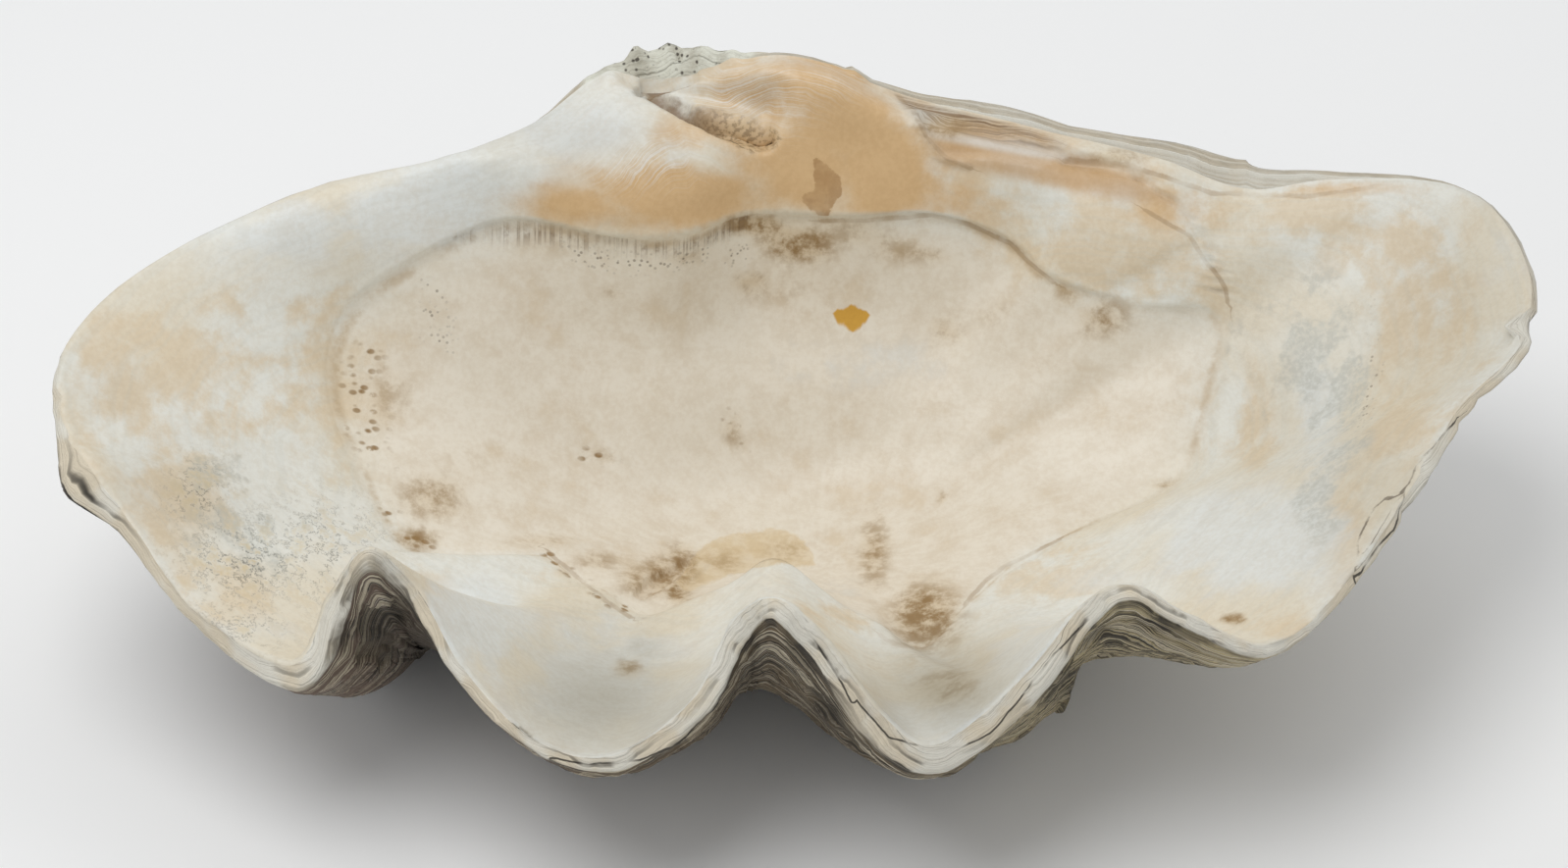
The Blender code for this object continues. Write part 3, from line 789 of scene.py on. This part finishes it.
def make_skin():
    """The valve as one closed mesh: a grid laid on the rows, its sides merged, with what its materials read."""
    plain, places = skin()
    grid, px, py, far, place, caves, worn, large, layered = carve(plain, places)
    rows, columns = place.shape
    bpy.ops.object.select_all(action="DESELECT")
    bpy.ops.mesh.primitive_grid_add(x_subdivisions=columns - 1, y_subdivisions=rows - 1, size=1)
    piece = bpy.context.object
    piece.name = "shell_skin"
    mesh = piece.data
    mesh.name = "shell_skin"
    mesh.vertices.foreach_set("co", grid.reshape(-1))

    in_picture = np.stack([px.reshape(-1), py.reshape(-1)], axis=1) / PICTURE_UNIT
    corners = np.zeros(len(mesh.loops), int)
    mesh.loops.foreach_get("vertex_index", corners)
    mesh.uv_layers[0].name = "picture_uv"
    mesh.uv_layers[0].data.foreach_set("uv", in_picture[corners].reshape(-1))

    hinge = smooth_step(*HINGE_BACK, grid[..., 1]) * smooth_step(1.0, 1.05, place)
    basin = 1 - smooth_step(0.95, 1.03, place)
    inner = place < 1.7
    cloudy = 0.5 + 0.3 * rough(grid, *CLOUDY_NOISE)
    crack_side, by_crack = beside_lines(px, py, CRACKS)
    edge_side, by_edge = beside_lines(px, py, BROWN_EDGES, 22)
    on_top = place < OUTSIDE_FROM
    pits = np.max([near_line(px, py, points, widths) for points, widths in PIT_ROWS], axis=0)
    values = {
        "far": far,
        "place": place,
        "basin": basin,
        "broad": 0.5 + 0.5 * large,
        "white": near_spots(px, py, WHITE_PATCHES),
        "peach": near_spots(px, py, PEACH_PATCHES) * (1 - basin),
        "tan": near_spots(px, py, TAN_PATCHES) * hinge,
        "blue": near_spots(px, py, BLUE_PATCHES) * (1 - basin),
        "stain": near_spots(px, py, STAINS),
        "cloudy": cloudy,
        "striae": near_spots(px, py, STRIAE) * on_top,
        "shaded": near_spots(px, py, SHADED) * on_top,
        # Painted shade: darkened patches of the inside
        "painted_shade": near_spots(px, py, PAINTED_SHADE) * on_top,
        "layered": layered,
        # Painted shade deep in the grooves of the front folds
        "groove_shade": near_spots(px, py, GROOVE_SHADE) * (place > 2.5),
        "amber": np.where(on_top, beside(px, py, AMBER_SPOT), 99),
        "chip": np.where(on_top, beside(px, py, CHIPPED_PATCH), 99),
        "cleft": np.where(on_top, np.minimum(beside(px, py, CLEFT_PATCH), beside(px, py, UPPER_CLEFT)), 99),
        "plate": np.where(on_top, beside(px, py, YELLOW_PLATE), 99),
        "ligament": within(px, py, LIGAMENT, 5) * on_top,
        "pale_ridge": within(px, py, PALE_RIDGE, 5) * on_top,
        "platform": within(px, py, PLATFORM, 8) * on_top,
        "crack_side": crack_side,
        "by_crack": by_crack * (place < 3.05),
        "edge_side": edge_side,
        "by_edge": by_edge * on_top,
        "threads": near_spots(px, py, DARK_THREADS) * (1 - basin),
        "pits": pits * inner,
        "comb": near_line(px, py, COMB_LINE, COMB_WIDTHS) * inner,
        "dots": np.max([near_line(px, py, points, widths) for points, widths in DOT_ROWS], axis=0) * inner,
        "caves": caves,
        "worn": worn,
        "back": smooth_step(-0.03, 0.12, grid[..., 1] + 0.05 * large),
    }
    for name, value in values.items():
        mesh.attributes.new(name, "FLOAT", "POINT").data.foreach_set("value", value.astype(np.float32).reshape(-1))

    outer_faces = np.repeat(places[:-1] >= OUTSIDE_FROM, columns - 1)
    shared = growth_lines(), fine_cracks()
    mesh.materials.append(inside_material(*shared))
    mesh.materials.append(outside_material(*shared))
    mesh.polygons.foreach_set("material_index", outer_faces.astype(int))

    bpy.ops.object.mode_set(mode="EDIT")
    bpy.ops.mesh.select_all(action="SELECT")
    bpy.ops.mesh.remove_doubles(threshold=0.00001)
    bpy.ops.mesh.normals_make_consistent(inside=False)
    bpy.ops.object.mode_set(mode="OBJECT")
    bpy.ops.object.shade_smooth()
    return piece


def put(tree, kind, sockets=(), **settings):
    """A shader node with its settings and its sockets filled by values or links."""
    made = tree.nodes.new(kind)
    for name, value in settings.items():
        setattr(made, name, value)
    for name, value in dict(sockets).items():
        if isinstance(value, bpy.types.NodeSocket):
            tree.links.new(value, made.inputs[name])
        else:
            made.inputs[name].default_value = value
    return made


def reckon(tree, operation, a, b=0.0, c=0.0):
    return put(tree, "ShaderNodeMath", {0: a, 1: b, 2: c}, operation=operation).outputs[0]


def times(tree, a, b):
    return reckon(tree, "MULTIPLY", a, b)


def between(tree, value, low, high, start=0.0, end=1.0):
    """Value turned into start to end, softly, as it goes from low to high."""
    sockets = {"Value": value, "From Min": low, "From Max": high, "To Min": start, "To Max": end}
    return put(tree, "ShaderNodeMapRange", sockets, interpolation_type="SMOOTHSTEP").outputs["Result"]


def ridge(tree, value, middle, half):
    """1 where the value is near the middle, 0 half away from it."""
    return between(tree, reckon(tree, "ABSOLUTE", reckon(tree, "SUBTRACT", value, middle)), 0.0, half, 1.0, 0.0)


def clouds(tree, place, scale, detail, roughness):
    sockets = {"Vector": place, "Scale": scale, "Detail": detail, "Roughness": roughness}
    return put(tree, "ShaderNodeTexNoise", sockets).outputs["Fac"]


def bands(tree, value, scale):
    """Noise along one value, for layers and teeth."""
    sockets = {"W": value, "Scale": scale, "Detail": 2.0, "Roughness": 0.6}
    return put(tree, "ShaderNodeTexNoise", sockets, noise_dimensions="1D").outputs["Fac"]


def cells(tree, place, scale):
    """How far each place is from the nearest of scattered points."""
    sockets = {"Vector": place, "Scale": scale}
    return put(tree, "ShaderNodeTexVoronoi", sockets).outputs["Distance"]


def tint(tree, mask, under, over, mode="MIX"):
    """Colour over laid on colour under where the mask is 1."""
    made = put(tree, "ShaderNodeMix", data_type="RGBA", blend_type=mode)
    for index, value in ((0, mask), (6, under), (7, over)):
        if isinstance(value, bpy.types.NodeSocket):
            tree.links.new(value, made.inputs[index])
        elif index == 0:
            made.inputs[index].default_value = value
        else:
            made.inputs[index].default_value = (*value, 1)
    return made.outputs[2]


def painted(tree, name):
    return put(tree, "ShaderNodeAttribute", attribute_name=name).outputs["Fac"]


def stretched(tree, place, scale):
    return put(tree, "ShaderNodeMapping", {"Vector": place, "Scale": scale}).outputs["Vector"]


def inked(tree, side, near, half_width, wobble):
    """1 on the lines that side counts pixels from, where near is 1."""
    away = reckon(tree, "ABSOLUTE", reckon(tree, "ADD", painted(tree, side), wobble))
    return times(tree, between(tree, away, 0.5 * half_width, half_width, 1.0, 0.0), painted(tree, near))


def growth_lines():
    """A group for both materials: noise in thin layers laid parallel to the rim, for a given scale."""
    group = bpy.data.node_groups.new("growth_lines", "ShaderNodeTree")
    group.interface.new_socket("Scale", in_out="INPUT", socket_type="NodeSocketFloat")
    group.interface.new_socket("Value", in_out="OUTPUT", socket_type="NodeSocketFloat")
    given = put(group, "NodeGroupInput")
    far = painted(group, "far")
    waves = times(group, painted(group, "cloudy"), CLOUDY_WAVES)
    waves = reckon(group, "MULTIPLY_ADD", painted(group, "broad"), BROAD_WAVES, waves)
    warp = reckon(group, "MULTIPLY_ADD", waves, between(group, far, *STRAIGHTER, 1.0, WAVES_LEFT), far)
    put(group, "NodeGroupOutput", {"Value": bands(group, warp, given.outputs["Scale"])})
    return group


def fine_cracks():
    """A group for both materials: 1 on the thin cracks of the rim, moved by a given wobble in pixels."""
    group = bpy.data.node_groups.new("fine_cracks", "ShaderNodeTree")
    group.interface.new_socket("Wobble", in_out="INPUT", socket_type="NodeSocketFloat")
    group.interface.new_socket("Mask", in_out="OUTPUT", socket_type="NodeSocketFloat")
    given = put(group, "NodeGroupInput")
    mask = inked(group, "crack_side", "by_crack", CRACK_WIDTH, given.outputs["Wobble"])
    put(group, "NodeGroupOutput", {"Mask": mask})
    return group


def grouped(tree, group, **sockets):
    return put(tree, "ShaderNodeGroup", sockets, node_tree=group).outputs[0]


def new_material(name):
    material = bpy.data.materials.new(name)
    material.use_nodes = True
    return material, material.node_tree, material.node_tree.nodes["Principled BSDF"]


def inside_material(layers, rim_cracks):
    """Satin inside: ivory to cream, tan at the hinge, a beige basin, brown stains, painted shade and rows of small
    pits.
    """
    material, tree, shader = new_material("shell_inside")
    place = put(tree, "ShaderNodeTexCoord").outputs["Object"]
    picture = put(tree, "ShaderNodeUVMap", uv_map="picture_uv").outputs["UV"]
    basin = painted(tree, "basin")
    broad = painted(tree, "broad")
    cloudy = painted(tree, "cloudy")
    flange = reckon(tree, "SUBTRACT", 1.0, basin)
    blotch = clouds(tree, place, *BLOTCHES)
    small = clouds(tree, place, *GRAIN)
    middling = reckon(tree, "MULTIPLY_ADD", blotch, 0.4, times(tree, cloudy, 0.6))

    def patchy(name, low, high, share=0.55):
        """A painted patch whose edge is broken by the noise."""
        broken = reckon(tree, "MULTIPLY_ADD", reckon(tree, "SUBTRACT", middling, 0.5), share * 2, painted(tree, name))
        return between(tree, broken, low, high)

    def inside_of(name, ragged, soft):
        """1 inside an outline, its edge ragged by so many pixels."""
        away = reckon(tree, "MULTIPLY_ADD", reckon(tree, "SUBTRACT", blotch, 0.5), ragged, painted(tree, name))
        return between(tree, away, -soft, soft, 1.0, 0.0)

    colour = tint(tree, between(tree, broad, 0.3, 0.7), IVORY, CREAM)
    colour = tint(tree, between(tree, middling, 0.45, 0.75, 0.0, 0.4), colour, PEACH)
    floor_colour = tint(tree, between(tree, middling, 0.42, 0.66, 0.0, 0.65), FLOOR_BEIGE, FLOOR_DARK)
    colour = tint(tree, basin, colour, floor_colour)
    colour = tint(tree, times(tree, patchy("peach", 0.15, 0.85, 1.4), 0.85), colour, PEACH)
    colour = tint(tree, times(tree, patchy("white", 0.3, 1.0, 1.1), 0.8), colour, CHALK)
    tan = patchy("tan", 0.1, 0.85, 0.5)
    colour = tint(tree, tan, colour, HINGE_TAN)
    blue = times(tree, patchy("blue", 0.4, 0.8, 2.0), between(tree, painted(tree, "blue"), 0.1, 0.4))
    mottled = times(tree, blue, between(tree, small, 0.30, 0.66, 0.25, 0.65))
    colour = tint(tree, mottled, colour, BLUE_GREY)
    gold = times(tree, between(tree, blotch, 0.52, 0.62), painted(tree, "threads"))
    colour = tint(tree, times(tree, gold, 0.6), colour, GOLDEN_FLECKS)
    rings = grouped(tree, layers, Scale=WIDE_LAYERS)
    ring_mask = times(tree, between(tree, rings, 0.48, 0.60), reckon(tree, "SUBTRACT", flange, tan))
    colour = tint(tree, times(tree, ring_mask, 0.12), colour, BLUE_GREY)
    plate = times(tree, inside_of("plate", 18, 1.5), between(tree, blotch, 0.35, 0.65, 0.5, 0.8))
    colour = tint(tree, plate, colour, PLATE_YELLOW)

    streaks = grouped(tree, layers, Scale=STRIAE_LAYERS)
    pale = times(tree, ridge(tree, streaks, 0.5, 0.06), painted(tree, "striae"))
    colour = tint(tree, times(tree, pale, 0.9), colour, STRIAE_WHITE)
    colour = tint(tree, times(tree, painted(tree, "platform"), 0.75), colour, PLATFORM_TAN)
    old = reckon(tree, "MULTIPLY_ADD", between(tree, streaks, 0.42, 0.58), 0.6, 0.35)
    colour = tint(tree, times(tree, painted(tree, "ligament"), old), colour, LIGAMENT_BROWN)
    colour = tint(tree, times(tree, painted(tree, "pale_ridge"), 0.85), colour, RIDGE_PALE)

    # Painted shade: the inside darkened at both ends and near the hinge
    colour = tint(tree, times(tree, painted(tree, "painted_shade"), 0.8), colour, PAINTED_SHADE_TINT, "MULTIPLY")
    stain = painted(tree, "stain")
    stained = times(tree, stain, between(tree, blotch, 0.33, 0.66, 0.25, 1.35))
    colour = tint(tree, between(tree, stain, 0.1, 1.0, 0.0, 0.55), colour, OCHRE)
    colour = tint(tree, between(tree, stained, 0.15, 1.3, 0.0, 0.95), colour, BROWN)
    colour = tint(tree, times(tree, painted(tree, "shaded"), 0.75), colour, SHADED_GREY)

    holes = cells(tree, stretched(tree, place, (0.7, 1.2, 1.2)), 175)
    holes = between(tree, holes, 0.22, 0.42, 1.0, 0.0)
    pitted = times(tree, painted(tree, "pits"), times(tree, holes, between(tree, blotch, 0.37, 0.47)))
    colour = tint(tree, times(tree, pitted, 0.95), colour, BROWN)
    across = put(tree, "ShaderNodeSeparateXYZ", {0: picture}).outputs[0]
    teeth = between(tree, bands(tree, across, COMB_TEETH), 0.48, 0.58)
    comb = times(tree, painted(tree, "comb"), reckon(tree, "MULTIPLY_ADD", teeth, 0.7, 0.22))
    comb = times(tree, comb, between(tree, blotch, 0.38, 0.56, 0.2, 1.0))
    colour = tint(tree, times(tree, comb, 0.8), colour, COMB_BROWN)
    edge = ridge(tree, painted(tree, "place"), 0.995, 0.006)
    edge = times(tree, edge, between(tree, middling, 0.46, 0.6, 0.1, 0.6))
    colour = tint(tree, times(tree, edge, 0.7), colour, LEDGE_BROWN)

    threads = times(tree, ridge(tree, blotch, 0.5, 0.020), between(tree, small, 0.38, 0.48))
    threads = times(tree, threads, painted(tree, "threads"))
    colour = tint(tree, times(tree, threads, 0.9), colour, THREAD_BLACK)
    specks = between(tree, cells(tree, place, 330), 0.2, 0.36, 1.0, 0.0)
    colour = tint(tree, times(tree, times(tree, specks, painted(tree, "dots")), 0.8), colour, DOT_BROWN)

    shaking = times(tree, reckon(tree, "SUBTRACT", blotch, 0.5), 5.0)
    edges = inked(tree, "edge_side", "by_edge", EDGE_WIDTH, shaking)
    edges = times(tree, edges, between(tree, cloudy, 0.4, 0.6, 0.3, 1.0))
    colour = tint(tree, times(tree, edges, 0.45), colour, EDGE_BROWN)
    chip = times(tree, inside_of("chip", 16, 1.0), between(tree, blotch, 0.35, 0.62, 0.8, 0.45))
    colour = tint(tree, chip, colour, OLD_PATCH)
    colour = tint(tree, inside_of("amber", 4, 1.2), colour, AMBER)
    cleft = inside_of("cleft", 12, 3.0)
    cleft_colour = tint(tree, between(tree, across, 0.695, 0.76), CLEFT_DARK, CLEFT_LIGHT)
    cleft_colour = tint(tree, between(tree, small, 0.47, 0.6, 0.0, 0.6), cleft_colour, CLEFT_DIRT)
    colour = tint(tree, times(tree, cleft, 0.95), colour, cleft_colour)
    cracks = grouped(tree, rim_cracks, Wobble=times(tree, shaking, 0.7))
    cracks = times(tree, cracks, between(tree, middling, 0.42, 0.54, 0.0, 0.75))
    colour = tint(tree, cracks, colour, CRACK_BROWN)
    grain = reckon(tree, "ADD", times(tree, small, 0.5), times(tree, blotch, 0.5))
    colour = tint(tree, between(tree, grain, 0.38, 0.62, 0.0, 0.22), colour, FLOOR_DARK, "MULTIPLY")
    tree.links.new(colour, shader.inputs["Base Color"])

    height = reckon(tree, "MULTIPLY_ADD", times(tree, painted(tree, "pits"), -0.8), small, times(tree, small, 0.16))
    height = reckon(tree, "MULTIPLY_ADD", painted(tree, "comb"), times(tree, teeth, -0.8), height)
    bump = put(tree, "ShaderNodeBump", {"Strength": 0.6, "Distance": 0.0014, "Height": height})
    tree.links.new(bump.outputs[0], shader.inputs["Normal"])
    gloss = reckon(tree, "MULTIPLY_ADD", middling, 0.25, 0.32)
    tree.links.new(reckon(tree, "MULTIPLY_ADD", stain, 0.2, gloss), shader.inputs["Roughness"])
    return material


def outside_material(layers, rim_cracks):
    """Rough outside of thin layers laid parallel to the rim: pale edges, dark gaps, brown dirt, painted shade in the
    grooves, small pits.
    """
    material, tree, shader = new_material("shell_outside")
    place = put(tree, "ShaderNodeTexCoord").outputs["Object"]
    picture = put(tree, "ShaderNodeUVMap", uv_map="picture_uv").outputs["UV"]
    far = painted(tree, "far")
    cloudy = painted(tree, "cloudy")
    layered = painted(tree, "layered")
    middling = clouds(tree, place, *OUTSIDE_BLOTCHES)
    small = clouds(tree, place, *OUTSIDE_GRAIN)
    wide = grouped(tree, layers, Scale=WIDE_LAYERS)
    narrow = grouped(tree, layers, Scale=NARROW_LAYERS)

    across = put(tree, "ShaderNodeSeparateXYZ", {0: picture}).outputs[0]
    base = tint(tree, between(tree, across, 0.45, 0.65), LAYER_PURPLE, LAYER_BROWN)
    base = tint(tree, between(tree, across, 0.9, 1.1), base, LAYER_OLIVE)
    lit = between(tree, reckon(tree, "MULTIPLY_ADD", wide, 0.6, times(tree, narrow, 0.4)), 0.48, 0.56)
    lit = times(tree, lit, between(tree, far, 0.02, 0.07, 1.0, 0.35))
    colour = tint(tree, lit, base, LAYER_PALE)
    pale_lines = times(tree, ridge(tree, narrow, 0.58, 0.05), between(tree, cloudy, 0.4, 0.55))
    colour = tint(tree, times(tree, pale_lines, 0.8), colour, LAYER_EDGE)
    gaps = times(tree, ridge(tree, wide, 0.47, 0.07), between(tree, cloudy, 0.40, 0.52, 0.1, 1.0))
    medium = grouped(tree, layers, Scale=MEDIUM_LAYERS)
    flaky = times(tree, ridge(tree, medium, 0.5, 0.07), between(tree, across, 0.75, 1.05, 0.2, 1.0))
    colour = tint(tree, times(tree, times(tree, flaky, layered), 0.9), colour, LAYER_GAP)
    fine_gaps = ridge(tree, narrow, 0.47, 0.035)
    colour = tint(tree, times(tree, fine_gaps, 0.55), colour, LAYER_LINE)
    pits = times(tree, between(tree, small, 0.54, 0.62), between(tree, far, 0.02, 0.06))
    colour = tint(tree, times(tree, pits, 0.65), colour, PIT_DARK)
    colour = tint(tree, times(tree, painted(tree, "caves"), 0.6), colour, CAVE_DARK)
    # Painted shade deep in the grooves of the front folds
    colour = tint(tree, times(tree, painted(tree, "groove_shade"), 0.85), colour, GROOVE_SHADE_DARK)

    reach = reckon(tree, "MULTIPLY_ADD", layered, -0.009, 0.011)
    reach = reckon(tree, "MAXIMUM", reach, 0.0025)
    lip = between(tree, reckon(tree, "DIVIDE", far, reach), 0.3, 1.1, 1.0, 0.0)
    lip_colour = tint(tree, between(tree, cloudy, 0.4, 0.6), LIP_WHITE, LIP_CREAM)
    lip_colour = tint(tree, times(tree, fine_gaps, 0.35), lip_colour, LIP_LINE)
    colour = tint(tree, lip, colour, lip_colour)
    cracked = times(tree, gaps, reckon(tree, "MAXIMUM", times(tree, layered, 0.95), between(tree, far, 0.004, 0.012)))
    colour = tint(tree, times(tree, cracked, 0.95), colour, LAYER_GAP)

    shaking = times(tree, reckon(tree, "SUBTRACT", middling, 0.5), 4.0)
    cracks = grouped(tree, rim_cracks, Wobble=shaking)
    cracks = times(tree, cracks, between(tree, cloudy, 0.42, 0.54, 0.1, 0.9))
    colour = tint(tree, cracks, colour, LAYER_GAP)
    back = painted(tree, "back")
    weathered = tint(tree, between(tree, wide, 0.40, 0.60), WEATHERED_PALE, WEATHERED_BROWN)
    weathered = tint(tree, times(tree, fine_gaps, 0.45), weathered, WEATHERED_LINE)
    back = times(tree, back, between(tree, middling, 0.3, 0.6, 0.9, 0.6))
    colour = tint(tree, back, colour, weathered)
    worn = painted(tree, "worn")
    dots = between(tree, cells(tree, place, 240), 0.16, 0.34, 1.0, 0.0)
    dots = times(tree, dots, between(tree, middling, 0.42, 0.50))
    chalky = tint(tree, between(tree, middling, 0.35, 0.65), CHALKY_PALE, CHALKY_GREY)
    chalky = tint(tree, times(tree, dots, 0.9), chalky, CHALKY_PIT)
    colour = tint(tree, between(tree, worn, 0.15, 0.5), colour, chalky)
    tree.links.new(colour, shader.inputs["Base Color"])

    height = reckon(tree, "MULTIPLY_ADD", wide, 0.9, times(tree, narrow, 0.4))
    height = reckon(tree, "MULTIPLY_ADD", small, 0.35, height)
    bump = put(tree, "ShaderNodeBump", {"Strength": 0.9, "Distance": 0.003, "Height": height})
    tree.links.new(bump.outputs[0], shader.inputs["Normal"])
    shader.inputs["Roughness"].default_value = 0.8
    return material


def floor():
    """The pale floor, on the shell's lowest level."""
    bpy.ops.mesh.primitive_plane_add(size=12, location=(0, 0, CAD_BOX[0][2]))
    piece = bpy.context.object
    piece.name = "floor"
    material, _, shader = new_material("pale_floor")
    shader.inputs["Base Color"].default_value = (*FLOOR_WHITE, 1)
    shader.inputs["Roughness"].default_value = 0.9
    piece.data.materials.append(material)


def soft_light(name, place, size, watts, aim=(0, 0, 0.1)):
    lamp = bpy.data.lights.new(name, "AREA")
    lamp.shape = "DISK"
    lamp.size = size
    lamp.energy = watts
    thing = bpy.data.objects.new(name, lamp)
    thing.location = place
    thing.rotation_euler = (Vector(aim) - Vector(place)).to_track_quat("-Z", "Y").to_euler()
    bpy.context.scene.collection.objects.link(thing)


def studio():
    world = bpy.data.worlds.new("studio")
    world.use_nodes = True
    world.node_tree.nodes["Background"].inputs["Color"].default_value = (*SKY, 1)
    world.node_tree.nodes["Background"].inputs["Strength"].default_value = SKY_STRENGTH
    bpy.context.scene.world = world
    soft_light("key", *KEY_LIGHT)
    soft_light("fill", *FILL_LIGHT)
    bpy.context.scene.view_settings.view_transform = "Standard"


def camera():
    lens = bpy.data.cameras.new("camera")
    lens.lens = LENS
    lens.sensor_width = SENSOR
    thing = bpy.data.objects.new("camera", lens)
    back = Vector((0, -math.cos(CAMERA_HEIGHT_ANGLE), math.sin(CAMERA_HEIGHT_ANGLE)))
    thing.location = Vector(CAMERA_TARGET) + back * CAMERA_DISTANCE
    thing.rotation_euler = (math.pi / 2 - CAMERA_HEIGHT_ANGLE, 0, 0)
    bpy.context.scene.collection.objects.link(thing)
    bpy.context.scene.camera = thing


shell = make_skin()
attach(shell, "root")
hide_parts("valve")
floor()
studio()
camera()
